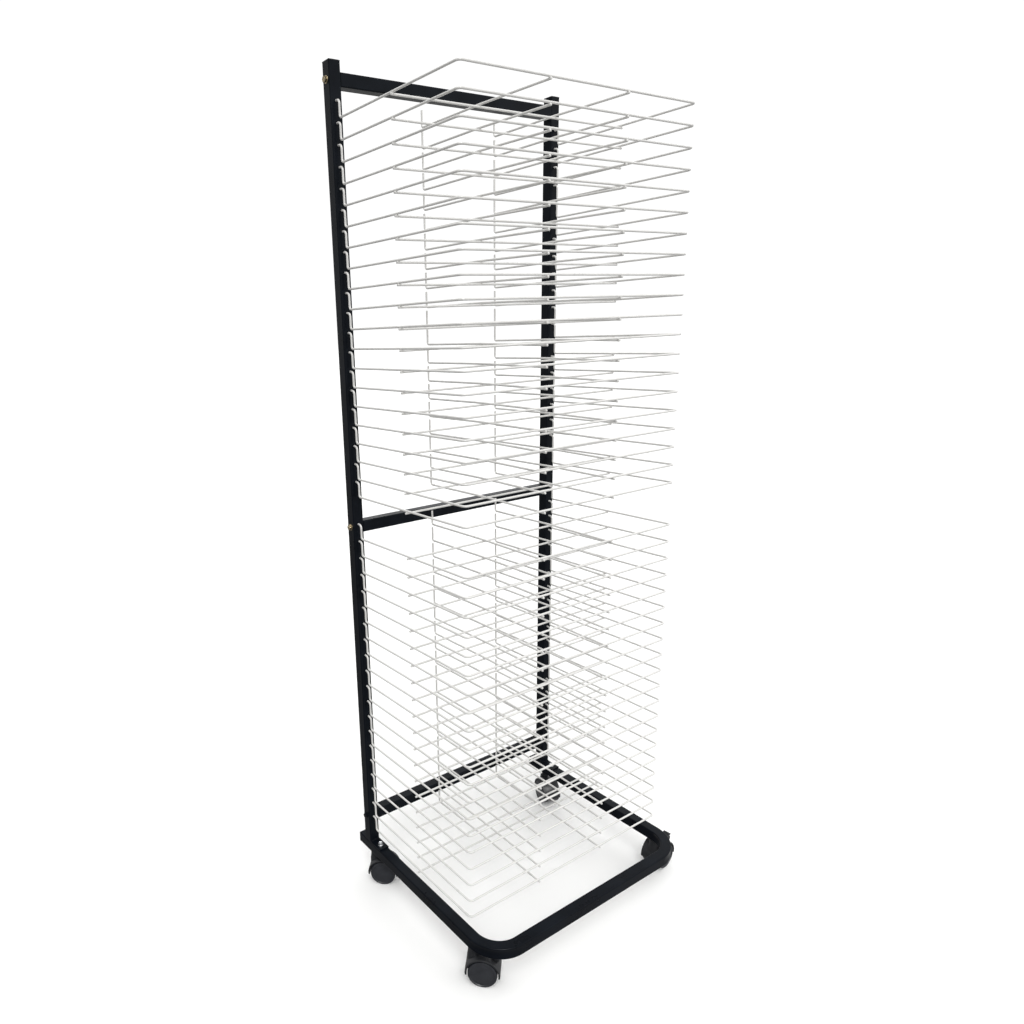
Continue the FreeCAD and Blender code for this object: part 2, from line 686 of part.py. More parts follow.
def shelves():
    """Every shelf, counted from the top."""
    shape = shelf_shape()
    made = []
    for level in ("upper", "lower"):
        for step in range(int(size(level + "_shelves"))):
            label = f"shelf_{len(made) + 1:02d}"
            shelf = doc.addObject("Part::Feature", label)
            shelf.Label = label
            shelf.Shape = shape
            made.append(bind(shelf, y="upright_face", z=f"{level}_top - {step} * shelf_pitch"))
    return made


# ---- whole rack ---------------------------------------------------------------------------

def write(pieces):
    """Check every object, then write one file for each piece."""
    doc.recompute()
    for thing in doc.Objects:
        if "Invalid" in thing.State or "Error" in thing.State:
            raise RuntimeError(f"{thing.Label} failed: {thing.State}")
    for piece in pieces:
        if piece.Shape.isNull() or not piece.Shape.isValid():
            raise RuntimeError(f"{piece.Label} has no valid shape")
    os.makedirs("parts", exist_ok=True)
    for piece in pieces:
        piece.Shape.exportStep(f"parts/{piece.Label}.step")
        solids = len(piece.Shape.Solids)
        print(f"{piece.Label:26s} {solids} solids {piece.Shape.Volume / 1000:9.2f} cm3")


pieces = [base()]
pieces += [upright(side) for side in SIDES]
pieces += [rail(name) for name in RAILS]
pieces += [rail_bolts(), foot_bolts(), tube_plugs(), caster_stems()]
pieces += casters()
pieces += shelves()
write(pieces)
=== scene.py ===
"""Dresses a mobile art drying rack: its finishes, its small parts in detail and a plain studio.

Metres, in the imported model's own frame: X runs across the rack, the open front faces -Y, Z is up
and the floor is z = 0.
"""
import json
import math

import bmesh
import bpy
from bpy.props import FloatProperty, FloatVectorProperty, PointerProperty
from mathutils import Matrix, Vector


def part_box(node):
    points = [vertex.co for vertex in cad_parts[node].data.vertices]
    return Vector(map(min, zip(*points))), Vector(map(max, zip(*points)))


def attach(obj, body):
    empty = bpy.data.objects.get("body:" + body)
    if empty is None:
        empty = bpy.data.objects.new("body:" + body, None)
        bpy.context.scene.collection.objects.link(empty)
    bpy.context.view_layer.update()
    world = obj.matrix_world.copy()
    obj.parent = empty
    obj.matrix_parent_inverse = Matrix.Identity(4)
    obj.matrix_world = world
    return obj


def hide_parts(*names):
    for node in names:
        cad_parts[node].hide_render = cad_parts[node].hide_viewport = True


bl_info = {
    "name": "Art Drying Rack",
    "version": (1, 0, 0),
    "blender": (4, 5, 0),
    "location": "View3D > Sidebar > Rack",
    "description": "Finishes, small parts and a studio for a mobile wire-shelf drying rack",
    "category": "Object",
}

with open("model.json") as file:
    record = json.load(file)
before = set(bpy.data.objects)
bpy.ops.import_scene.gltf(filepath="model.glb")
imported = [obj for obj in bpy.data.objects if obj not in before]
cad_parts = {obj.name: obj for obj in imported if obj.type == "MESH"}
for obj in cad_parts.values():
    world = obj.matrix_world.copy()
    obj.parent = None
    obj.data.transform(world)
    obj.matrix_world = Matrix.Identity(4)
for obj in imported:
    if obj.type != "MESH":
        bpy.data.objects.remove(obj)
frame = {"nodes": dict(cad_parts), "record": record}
JOINTS = {joint["name"]: joint for joint in frame["record"]["behaviour"]["joints"]}
SHELVES = sorted(name for name in frame["nodes"] if name.startswith("shelf_"))
CASTERS = ("front_left", "front_right", "rear_left", "rear_right")
BRAKED = ("front_left", "front_right")
SIDES = {"left": -1, "right": 1}
RAILS = ("top", "middle", "bottom")
SMOOTH = math.radians(38)
EDGE_ROUNDING = 0.0003
STAND_TO_Y = Matrix.Rotation(math.radians(-90), 4, "X")


def linear(code):
    """An sRGB hex value as linear red, green, blue and alpha."""
    parts = [int(code[i:i + 2], 16) / 255 for i in (0, 2, 4)]
    return [c / 12.92 if c <= 0.04045 else ((c + 0.055) / 1.055) ** 2.4 for c in parts] + [1.0]


def length(name, description, millimetres):
    """A size property that starts at a number of millimetres."""
    return FloatProperty(
        name=name, description=description, default=millimetres / 1000, min=0, unit="LENGTH", precision=5
    )


def colour(name, description, code):
    """A colour property that starts at an sRGB hex value."""
    return FloatVectorProperty(
        name=name, description=description, default=linear(code), size=4, min=0, max=1, subtype="COLOR"
    )


class RackSizes(bpy.types.PropertyGroup):
    """Sizes of what is modelled here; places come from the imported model."""

    tube_side: length("Tube", "Outside of the square tube", 25)
    tube_corner: length("Tube corner", "Outer corner radius of the tube", 2.5)
    bend_radius: length("Bend", "Front bends of the base, on the tube's centre line", 65)
    bend_crimp: length("Bend crimp", "How far the inner wall is pressed in at a bend", 5)
    bend_dish: length("Bend dish", "How far the outer wall sinks at a bend", 2.2)
    plug_cap: length("Plug cap", "Visible cap of a tube plug", 2)
    foot_plate: length("Foot plate", "Thickness of the plate under an upright", 3)
    bolt_thread: length("Bolt thread", "Diameter of every bolt's shank", 6)
    bolt_flats: length("Bolt head", "Across the flats of a bolt's head", 10)
    rail_bolt_flange: length("Rail bolt flange", "Diameter of a rail bolt's flange", 14)
    rail_bolt_reach: length("Rail bolt reach", "Length of a rail bolt below its flange", 29)
    foot_bolt_flange: length("Foot bolt flange", "Diameter of a foot bolt's flange", 12)
    foot_bolt_reach: length("Foot bolt reach", "Length of a foot bolt below its flange", 12)
    wire: length("Wire", "Diameter of the shelf wire", 4.2)
    hook_rise: length("Hook rise", "Shelf to the hole that its hook goes through", 31)
    standoff: length("Hook standoff", "Leg of a shelf to its hooks' pivot", 10.6)
    reach: length("Shelf reach", "Leg of a shelf to its front wire", 350)
    inner_line: length("Inner wires", "Middle of the shelf to an inner wire", 94.5)
    wheel: length("Wheel", "Diameter of a wheel", 60)
    wheel_width: length("Wheel width", "Each of the two wheels of a caster", 17.6)
    web: length("Web", "Hood's web between the wheels", 12)
    hood_wall: length("Hood wall", "Wall of the hood over the wheels", 3.5)
    hood_gap: length("Hood gap", "Wheel's tread to the hood", 2.5)
    hood_skirt: length("Hood skirt", "How far the hood reaches below the axle", 4)
    hub: length("Hub", "Radius of the web's hub round the axle", 12)
    lever_width: length("Lever width", "Width of a brake lever", 17.6)
    lever_hub: length("Lever hub", "Radius of a brake lever's hub", 4.5)


class RackColours(bpy.types.PropertyGroup):
    """Colours of the rack's finishes and of the studio."""

    frame_coat: colour("Frame coat", "Powder coat on the tubes", "0d1117")
    wire_coat: colour("Wire coat", "Coat on the shelf wires", "e1e0dd")
    zinc: colour("Zinc", "Clear plating on foot bolts and stems", "c2c4c6")
    yellow_zinc: colour("Yellow zinc", "Yellow plating on rail bolts", "aa9c80")
    hood: colour("Hood", "Nylon of the hoods and brake levers", "191b1f")
    wheel: colour("Wheel", "Nylon of the wheels", "282a2f")
    plug: colour("Plug", "Polythene of the tube plugs", "161618")
    floor: colour("Floor", "Studio floor", "fdfdfc")


# ---- materials ---------------------------------------------------------------------------------

def add_node(tree, kind, settings=(), links=()):
    """A node with its properties and inputs set, and other inputs linked to the outputs given."""
    node = tree.nodes.new(kind)
    for name, value in dict(settings).items():
        if hasattr(node, name):
            setattr(node, name, value)
        else:
            node.inputs[name].default_value = value
    for name, output in dict(links).items():
        tree.links.new(output, node.inputs[name])
    return node


def blank_finish(name, **sockets):
    """A material with its shader's own sockets set: (material, tree, shader, coordinates)."""
    material = bpy.data.materials.new(name)
    material.use_nodes = True
    tree = material.node_tree
    shader = tree.nodes["Principled BSDF"]
    for socket, value in sockets.items():
        shader.inputs[socket.replace("_", " ")].default_value = value
    where = add_node(tree, "ShaderNodeTexCoord").outputs["Object"]
    return material, tree, shader, where


def vary(tree, shader, pattern, tint, gloss, base):
    """Let a pattern shift the colour's brightness and the roughness, each between two values."""
    span = {"From Min": 0.3, "From Max": 0.7}
    bright = {**span, "To Min": tint[0], "To Max": tint[1]}
    brightness = add_node(tree, "ShaderNodeMapRange", bright, {"Value": pattern})
    rough = {**span, "To Min": gloss[0], "To Max": gloss[1]}
    roughness = add_node(tree, "ShaderNodeMapRange", rough, {"Value": pattern})
    value = {"Value": brightness.outputs["Result"]}
    shaded = add_node(tree, "ShaderNodeHueSaturation", {"Color": base}, value)
    tree.links.new(shaded.outputs["Color"], shader.inputs["Base Color"])
    tree.links.new(roughness.outputs["Result"], shader.inputs["Roughness"])


def emboss(tree, shader, height, depth, strength):
    """Raise the surface by a pattern of the given depth in metres."""
    settings = {"Distance": depth, "Strength": strength}
    bump = add_node(tree, "ShaderNodeBump", settings, {"Height": height})
    tree.links.new(bump.outputs["Normal"], shader.inputs["Normal"])


def satin_powder_coat(base):
    """Black polyester powder, sprayed on steel tube and baked.

    The eye gets a deep satin black whose highlights are broken up by a faint orange peel, about
    2.5 mm from bump to bump, over the slow waves of rolled tube.
    """
    name = "black_polyester_powder_coat"
    material, tree, shader, where = blank_finish(name, IOR=1.5, Specular_IOR_Level=0.08)
    peel = {"Scale": 1 / 0.0025, "Detail": 2.0, "Roughness": 0.45}
    orange_peel = add_node(tree, "ShaderNodeTexNoise", peel, {"Vector": where})
    waves = {"Scale": 1 / 0.045, "Detail": 3.0, "Roughness": 0.5}
    rolled = add_node(tree, "ShaderNodeTexNoise", waves, {"Vector": where})
    vary(tree, shader, rolled.outputs["Fac"], (0.8, 1.35), (0.26, 0.38), base)
    emboss(tree, shader, orange_peel.outputs["Fac"], 0.00012, 0.35)
    return material


def gloss_wire_coat(base):
    """White epoxy powder, baked on drawn steel wire.

    The eye gets a clean off-white gloss with soft lumps, about 4 mm long, where the coat flowed
    before it set, and slightly greyer stretches where it lies thin.
    """
    material, tree, shader, where = blank_finish("white_epoxy_wire_coat", IOR=1.5)
    flow = {"Scale": 1 / 0.004, "Detail": 1.5, "Roughness": 0.4}
    lumps = add_node(tree, "ShaderNodeTexNoise", flow, {"Vector": where})
    thin = {"Scale": 1 / 0.03, "Detail": 2.0, "Roughness": 0.5}
    stretches = add_node(tree, "ShaderNodeTexNoise", thin, {"Vector": where})
    vary(tree, shader, stretches.outputs["Fac"], (0.95, 1.02), (0.26, 0.38), base)
    emboss(tree, shader, lumps.outputs["Fac"], 0.0002, 0.3)
    return material


def zinc_plating(name, base):
    """Zinc electroplated on cold-headed steel and passivated clear or yellow.

    The eye gets a bright metal with fine crystals, about 0.8 mm, under clouds some 3 mm across.
    """
    material, tree, shader, where = blank_finish(name, Metallic=1.0)
    crystals = {"Scale": 1 / 0.0008, "feature": "F1"}
    spangle = add_node(tree, "ShaderNodeTexVoronoi", crystals, {"Vector": where})
    cloud = {"Scale": 1 / 0.003, "Detail": 4.0, "Roughness": 0.6}
    clouds = add_node(tree, "ShaderNodeTexNoise", cloud, {"Vector": where})
    vary(tree, shader, clouds.outputs["Fac"], (0.86, 1.05), (0.2, 0.36), base)
    emboss(tree, shader, spangle.outputs["Distance"], 0.00004, 0.25)
    return material


def moulded_nylon(name, base, gloss):
    """Filled nylon, moulded in a spark-eroded tool.

    The eye gets an even satin with a fine pebble, drawn here at 0.6 mm so that it shows, and faint
    cloudy flow marks some 12 mm across.
    """
    material, tree, shader, where = blank_finish(name, IOR=1.53, Specular_IOR_Level=0.45)
    pebble = {"Scale": 1 / 0.0006, "feature": "SMOOTH_F1"}
    grain = add_node(tree, "ShaderNodeTexVoronoi", pebble, {"Vector": where})
    flow = {"Scale": 1 / 0.012, "Detail": 3.0, "Roughness": 0.55}
    marks = add_node(tree, "ShaderNodeTexNoise", flow, {"Vector": where})
    vary(tree, shader, marks.outputs["Fac"], (0.85, 1.2), gloss, base)
    emboss(tree, shader, grain.outputs["Distance"], 0.00006, 0.4)
    return material


def soft_polythene(base):
    """Low-density polythene, injection moulded.

    The eye gets a waxy black that is softer and duller than the coat beside it, with a slight
    sink of some 8 mm across its flat.
    """
    material, tree, shader, where = blank_finish("black_polythene", IOR=1.51, Specular_IOR_Level=0.35)
    sink = {"Scale": 1 / 0.008, "Detail": 1.0, "Roughness": 0.4}
    sunk = add_node(tree, "ShaderNodeTexNoise", sink, {"Vector": where})
    vary(tree, shader, sunk.outputs["Fac"], (0.9, 1.15), (0.5, 0.62), base)
    emboss(tree, shader, sunk.outputs["Fac"], 0.0002, 0.3)
    return material


def floor_paper(base):
    """Matt studio paper, rolled out: a plain pale floor with barely a tooth."""
    material, tree, shader, where = blank_finish("studio_paper", Specular_IOR_Level=0.1)
    tooth = {"Scale": 1 / 0.05, "Detail": 2.0}
    paper = add_node(tree, "ShaderNodeTexNoise", tooth, {"Vector": where})
    vary(tree, shader, paper.outputs["Fac"], (0.995, 1.0), (0.85, 0.9), base)
    return material


def dress(nodes, material):
    """Give CAD nodes a finish without touching their meshes."""
    for name in nodes:
        node = frame["nodes"][name]
        if not node.material_slots:
            raise RuntimeError(name + " has no material slot to dress")
        for place in node.material_slots:
            place.link = "OBJECT"
            place.material = material


# ---- shapes ------------------------------------------------------------------------------------

def new_since(bm, before):
    """Vertices added since a set of the earlier ones was made."""
    return [vert for vert in bm.verts if vert not in before]


def turned(bm, outline, steps=48, place=Matrix()):
    """A closed shape: an outline of (radius, height) points, axis to axis, spun round Z."""
    before = set(bm.verts)
    points = [bm.verts.new((radius, 0, height)) for radius, height in outline]
    edges = [bm.edges.new(pair) for pair in zip(points, points[1:])]
    bmesh.ops.spin(
        bm, geom=points + edges, cent=(0, 0, 0), axis=(0, 0, 1), angle=math.tau, steps=steps, use_merge=True
    )
    bmesh.ops.remove_doubles(bm, verts=new_since(bm, before), dist=1e-7)
    made = new_since(bm, before)
    bmesh.ops.transform(bm, matrix=place, verts=made)
    return made


def pin_outline(radius, end, chamfer=0.0):
    """The outline of a round pin between -end and +end, with its rims chamfered."""
    if not chamfer:
        return [(0, -end), (radius, -end), (radius, end), (0, end)]
    return [(0, -end), (radius - chamfer, -end), (radius, chamfer - end), (radius, end - chamfer),
            (radius - chamfer, end), (0, end)]


def square_outline(bm, side, corner, flats=0):
    """The edges of a rounded square in the XY plane, with extra points along its flats."""
    before = set(bm.verts)
    bmesh.ops.create_grid(bm, x_segments=1, y_segments=1, size=side / 2)
    corners = new_since(bm, before)
    bmesh.ops.bevel(
        bm, geom=corners, offset=corner, segments=5, profile=0.5, affect="VERTICES", material=-1
    )
    made = new_since(bm, before)
    flat = [e for vert in made for e in vert.link_edges if e.calc_length() > corner]
    if flats:
        bmesh.ops.subdivide_edges(bm, edges=list(dict.fromkeys(flat)), cuts=flats)
    faces = {face for vert in new_since(bm, before) for face in vert.link_faces}
    bmesh.ops.delete(bm, geom=list(faces), context="FACES_ONLY")
    made = new_since(bm, before)
    return made, list(dict.fromkeys(e for vert in made for e in vert.link_edges))


def split(geometry):
    """The vertices of an operator's result, and the edges that run between them."""
    verts = [item for item in geometry if isinstance(item, bmesh.types.BMVert)]
    kept = set(verts)
    edges = [e for e in geometry if isinstance(e, bmesh.types.BMEdge) and kept.issuperset(e.verts)]
    return verts, edges


def carried(bm, ring, way, runs=1):
    """Draw a ring of edges out along a straight line."""
    for _ in range(runs):
        verts, ring = split(bmesh.ops.extrude_edge_only(bm, edges=ring)["geom"])
        bmesh.ops.translate(bm, verts=verts, vec=Vector(way) / runs)
    return ring


def swung(bm, ring, centre, angle, steps):
    """Draw a ring of edges round a bend about the vertical."""
    verts = list({vert for edge in ring for vert in edge.verts})
    spun = bmesh.ops.spin(
        bm, geom=verts + ring, cent=centre, axis=(0, 0, 1), angle=angle, steps=steps
    )
    return split(spun["geom_last"])[1]


def blob(bm, centre, radii, round_steps=8, tall_steps=5):
    """A small ellipsoid, for a weld or the rounded end of a wire."""
    place = Matrix.Translation(centre) @ Matrix.Diagonal((*radii, 1))
    bmesh.ops.create_uvsphere(bm, u_segments=round_steps, v_segments=tall_steps, radius=1, matrix=place)


def block(bm, size, place):
    """A box of the given size about the middle of its place."""
    stretched = place @ Matrix.Diagonal((*size, 1))
    return bmesh.ops.create_cube(bm, size=1, matrix=stretched)["verts"]


def piece_from(bm, name, body, material, stands_for=(), rounding=0.0):
    """Make the shape a piece that rides on a body, in place of the CAD nodes it stands for."""
    bmesh.ops.recalc_face_normals(bm, faces=bm.faces)
    mesh = bpy.data.meshes.new(name)
    bm.to_mesh(mesh)
    bm.free()
    mesh.shade_smooth()
    mesh.set_sharp_from_angle(angle=SMOOTH)
    mesh.materials.append(material)
    piece = bpy.data.objects.new(name, mesh)
    bpy.context.scene.collection.objects.link(piece)
    if rounding:
        bevel = piece.modifiers.new("rounding", "BEVEL")
        bevel.width = rounding
        bevel.segments = 3
        bevel.limit_method = "ANGLE"
        bevel.angle_limit = SMOOTH
        bevel.harden_normals = True
    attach(piece, body)
    if stands_for:
        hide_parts(*stands_for)
    return piece


# ---- frame -------------------------------------------------------------------------------------

class RACK_OT_frame(bpy.types.Operator):
    """Coat the uprights and rails"""

    bl_idname = "rack.frame"
    bl_label = "Frame"

    def execute(self, context):
        material = satin_powder_coat(context.scene.rack_colours.frame_coat)
        tubes = [side + "_upright" for side in SIDES] + [name + "_rail" for name in RAILS]
        dress(tubes, material)
        return {"FINISHED"}


def press_bends(bm, centres, half, sizes):
    """Press the inner wall in and let the outer wall sink along each bend."""
    for vert in bm.verts:
        for centre in centres:
            arm = vert.co - centre
            outward = math.copysign(1, centre.x)
            if arm.x * outward < 0 or arm.y > 0:
                continue
            along = math.atan2(arm.x * outward, -arm.y) / (math.pi / 2)
            radial = math.hypot(arm.x, arm.y) - sizes.bend_radius
            valley = max(0.0, math.cos(math.pi / 2 * arm.z / half)) * math.sin(math.pi * along) ** 0.7
            if radial < -half * 0.9:
                push = sizes.bend_crimp * valley
            elif radial > half * 0.9:
                push = -sizes.bend_dish * valley
            else:
                continue
            flat = Vector((arm.x, arm.y, 0)).normalized()
            vert.co += flat * push


class RACK_OT_base(bpy.types.Operator):
    """Bend the base out of square tube, with the walls pressed in at its two bends"""

    bl_idname = "rack.base"
    bl_label = "Base"

    def execute(self, context):
        sizes = context.scene.rack_sizes
        low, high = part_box("base_tube")
        half, bend = sizes.tube_side / 2, sizes.bend_radius
        level = (low.z + high.z) / 2
        line, front, rear = high.x - half, low.y + half, high.y
        bm = bmesh.new()
        verts, ring = square_outline(bm, sizes.tube_side, sizes.tube_corner, flats=7)
        stood = Matrix.Translation((-line, rear, level)) @ Matrix.Rotation(math.pi / 2, 4, "X")
        bmesh.ops.transform(bm, matrix=stood, verts=verts)
        ring = carried(bm, ring, (0, front + bend - rear, 0))
        left, right = (Vector((way * (line - bend), front + bend, level)) for way in (-1, 1))
        ring = swung(bm, ring, left, math.pi / 2, 28)
        ring = carried(bm, ring, (2 * (line - bend), 0, 0))
        ring = swung(bm, ring, right, math.pi / 2, 28)
        carried(bm, ring, (0, rear - front - bend, 0))
        bmesh.ops.holes_fill(bm, edges=[e for e in bm.edges if e.is_boundary], sides=0)
        press_bends(bm, (left, right), half, sizes)
        material = bpy.data.materials["black_polyester_powder_coat"]
        piece_from(bm, "bent_base", "frame", material, ["base_tube"])
        return {"FINISHED"}


class RACK_OT_foot_welds(bpy.types.Operator):
    """Run weld beads along the feet of the uprights"""

    bl_idname = "rack.foot_welds"
    bl_label = "Foot welds"

    def execute(self, context):
        sizes = context.scene.rack_sizes
        beads, margin = 13, 0.002
        bead = (0.0014, 0.0026, 0.0024)
        bm = bmesh.new()
        for side in SIDES:
            low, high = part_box(side + "_upright")
            plate = low.z + sizes.foot_plate
            face = high.y - sizes.tube_side
            for step in range(beads):
                x = low.x + margin + (high.x - low.x - 2 * margin) * step / (beads - 1)
                blob(bm, (x, face - 0.0004, plate + 0.0003), bead)
        material = bpy.data.materials["black_polyester_powder_coat"]
        piece_from(bm, "foot_welds", "frame", material)
        return {"FINISHED"}


class RACK_OT_bolts(bpy.types.Operator):
    """Screw in the flanged hexagon bolts; the bottom rail's are coated with the frame"""

    bl_idname = "rack.bolts"
    bl_label = "Bolts"

    def execute(self, context):
        sizes, colours = context.scene.rack_sizes, context.scene.rack_colours
        clear = zinc_plating("bright_zinc_plating", colours.zinc)
        yellow = zinc_plating("yellow_zinc_plating", colours.yellow_zinc)
        coat = bpy.data.materials["black_polyester_powder_coat"]
        uprights = {side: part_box(side + "_upright") for side in SIDES}
        sets = (
            ("rail_bolt_set", RAILS[:2], yellow, "zinc_bolts", ["rail_bolts"]),
            ("coated_bolts", RAILS[2:], coat, "black_frame_coat", []),
        )
        for label, rails, finish, slot, stands_for in sets:
            bm = bmesh.new()
            for side, way in SIDES.items():
                low, high = uprights[side]
                outer = high.x if way > 0 else low.x
                for name in rails:
                    rail_low, rail_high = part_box(name + "_rail")
                    middle = (rail_low + rail_high) / 2
                    sideways = Matrix.Rotation(way * math.pi / 2, 4, "Y")
                    place = Matrix.Translation((outer, middle.y, middle.z)) @ sideways
                    flanged_bolt(bm, sizes, sizes.rail_bolt_flange, sizes.rail_bolt_reach, place)
            piece_from(bm, label, "frame", finish, stands_for, rounding=EDGE_ROUNDING)
        bm = bmesh.new()
        foot_low, foot_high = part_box("foot_bolts")
        for side in SIDES:
            low, high = uprights[side]
            spot = ((low.x + high.x) / 2, (foot_low.y + foot_high.y) / 2, low.z + sizes.foot_plate)
            place = Matrix.Translation(spot)
            flanged_bolt(bm, sizes, sizes.foot_bolt_flange, sizes.foot_bolt_reach, place)
        piece_from(bm, "foot_bolt_set", "frame", clear, ["foot_bolts"], rounding=EDGE_ROUNDING)
        dress(["caster_stems"], clear)
        return {"FINISHED"}


def flanged_bolt(bm, sizes, flange, reach, place):
    """A bolt with its head along its own +Z: sloped flange, hexagon and a dished top."""
    shank, wide, flat = sizes.bolt_thread / 2, flange / 2, sizes.bolt_flats / 2
    chamfer, brim, slope = 0.0005, 0.0007, 0.0015
    outline = [(0, -reach), (shank - chamfer, -reach), (shank, chamfer - reach), (shank, 0), (wide, 0),
               (wide, brim), (flat, slope), (0, slope)]
    turned(bm, outline, 36, place)
    corner = flat / math.cos(math.pi / 6)
    tall, middle = 0.0042, 0.0034
    head = place @ Matrix.Translation((0, 0, middle))
    made = bmesh.ops.create_cone(
        bm, cap_ends=True, segments=6, radius1=corner, radius2=corner, depth=tall, matrix=head
    )["verts"]
    up = place.to_3x3() @ Vector((0, 0, 1))
    faces = {face for vert in made for face in vert.link_faces}
    top = max(faces, key=lambda face: face.calc_center_median().dot(up))
    bmesh.ops.inset_individual(bm, faces=[top], thickness=0.0012)
    bmesh.ops.inset_individual(bm, faces=[top], thickness=0.0006, depth=-0.0006)


class RACK_OT_plugs(bpy.types.Operator):
    """Press the plugs into the tubes' ends"""

    bl_idname = "rack.plugs"
    bl_label = "Tube plugs"

    def execute(self, context):
        sizes = context.scene.rack_sizes
        base_low, base_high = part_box("base_tube")
        bm = bmesh.new()
        for side in SIDES:
            low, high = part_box(side + "_upright")
            x = (low.x + high.x) / 2
            top = Matrix.Translation((x, high.y - sizes.tube_side / 2, high.z))
            level = (base_low.z + base_high.z) / 2
            rear = Matrix.Translation((x, base_high.y, level)) @ STAND_TO_Y
            for place in (top, rear):
                pressed_plug(bm, sizes, place)
        material = soft_polythene(context.scene.rack_colours.plug)
        piece_from(bm, "pressed_plugs", "frame", material, ["tube_plugs"])
        return {"FINISHED"}


def pressed_plug(bm, sizes, place):
    """A plug with its origin on the tube's end: crowned cap along +Z and core along -Z."""
    before = set(bm.verts)
    side, cap = sizes.tube_side, sizes.plug_cap
    core, inset, deep = side - 0.0028, 0.0012, 0.012
    ring = square_outline(bm, core, sizes.tube_corner - inset)[1]
    bmesh.ops.translate(bm, verts=new_since(bm, before), vec=(0, 0, -deep))
    ring = carried(bm, ring, (0, 0, deep))
    crown = ((side, 0.0), (side, cap * 0.5), (side - 0.0012, cap * 0.3), (side - 0.006, cap * 0.2))
    for size, rise in crown:
        verts, ring = split(bmesh.ops.extrude_edge_only(bm, edges=ring)["geom"])
        bmesh.ops.translate(bm, verts=verts, vec=(0, 0, rise))
        reach = max(abs(vert.co.x) for vert in verts)
        bmesh.ops.scale(bm, verts=verts, vec=(size / 2 / reach, size / 2 / reach, 1))
    ends = {e for vert in new_since(bm, before) for e in vert.link_edges if e.is_boundary}
    bmesh.ops.holes_fill(bm, edges=list(ends), sides=0)
    bmesh.ops.transform(bm, matrix=place, verts=new_since(bm, before))


# ---- casters -----------------------------------------------------------------------------------

def caster_place(name):
    """(place of a caster's stem on the floor, turned so that its wheels trail to +X; axle there)."""
    stem = Vector(JOINTS[name + "_swivel"]["pos_m"])
    axle = Vector(JOINTS[name + "_roll"]["pos_m"])
    arm = axle - stem
    place = Matrix.Translation((stem.x, stem.y, 0)) @ Matrix.Rotation(math.atan2(arm.y, arm.x), 4, "Z")
    return place, Vector((math.hypot(arm.x, arm.y), 0, axle.z))


class RACK_OT_wheels(bpy.types.Operator):
    """Turn each caster's two wheels: a lipped, crowned disc and a grooved tread"""

    bl_idname = "rack.wheels"
    bl_label = "Wheels"

    def execute(self, context):
        sizes = context.scene.rack_sizes
        material = moulded_nylon("grey_black_nylon", context.scene.rack_colours.wheel, (0.34, 0.48))
        radius = sizes.wheel / 2
        inner = sizes.web / 2 + 0.0004
        outer = inner + sizes.wheel_width
        middle = (inner + outer) / 2
        # From the plain inner face over two grooves in the tread to the lip and the crowned disc.
        outline = [
            (0, inner), (radius - 0.0016, inner), (radius - 0.0004, inner + 0.0006), (radius, inner + 0.002),
            (radius, middle - 0.0035), (radius - 0.0005, middle - 0.003), (radius - 0.0005, middle - 0.002),
            (radius, middle - 0.0015), (radius, middle + 0.0015), (radius - 0.0005, middle + 0.002),
            (radius - 0.0005, middle + 0.003), (radius, middle + 0.0035),
            (radius, outer - 0.002), (radius - 0.0006, outer - 0.0006), (radius - 0.002, outer),
            (radius - 0.0036, outer - 0.0001), (radius - 0.0043, outer - 0.0011),
            (radius - 0.0055, outer - 0.0013), (radius - 0.010, outer - 0.0008),
            (radius - 0.016, outer - 0.0004), (radius - 0.0225, outer - 0.0001), (0, outer),
        ]
        for name in CASTERS:
            bm = bmesh.new()
            place, axle = caster_place(name)
            for way in (0, math.pi):
                facing = Matrix.Rotation(way, 4, "Z") @ STAND_TO_Y
                turned(bm, outline, 72, place @ Matrix.Translation(axle) @ facing)
            shaft = pin_outline(0.003, inner + 0.001)
            turned(bm, shaft, 24, place @ Matrix.Translation(axle) @ STAND_TO_Y)
            body = name + "_wheel_pair"
            piece_from(bm, name + "_twin_wheels", body, material, [name + "_wheels"])
        return {"FINISHED"}


def hood_shell(bm, sizes, axle):
    """Arch and web in one turning about the axle, cut level below it."""
    inside = sizes.wheel / 2 + sizes.hood_gap
    outside = inside + sizes.hood_wall
    web = sizes.web / 2
    edge = web + 0.0004 + sizes.wheel_width
    half = [(0, web), (inside - 0.001, web), (inside, web + 0.001), (inside, edge - 0.0008),
            (inside + 0.0008, edge), (outside - 0.0022, edge), (outside - 0.0007, edge - 0.0007),
            (outside, edge - 0.0022)]
    outline = half + [(radius, -height) for radius, height in reversed(half)]
    made = turned(bm, outline, 96, Matrix.Translation(axle) @ STAND_TO_Y)
    geometry = list({item for v in made for item in (v, *v.link_edges, *v.link_faces)})
    cut = bmesh.ops.bisect_plane(
        bm, geom=geometry, dist=1e-7, plane_co=(0, 0, axle.z - sizes.hood_skirt), plane_no=(0, 0, 1),
        clear_inner=True
    )
    rim = [item for item in cut["geom_cut"] if isinstance(item, bmesh.types.BMEdge)]
    bmesh.ops.holes_fill(bm, edges=rim, sides=0)


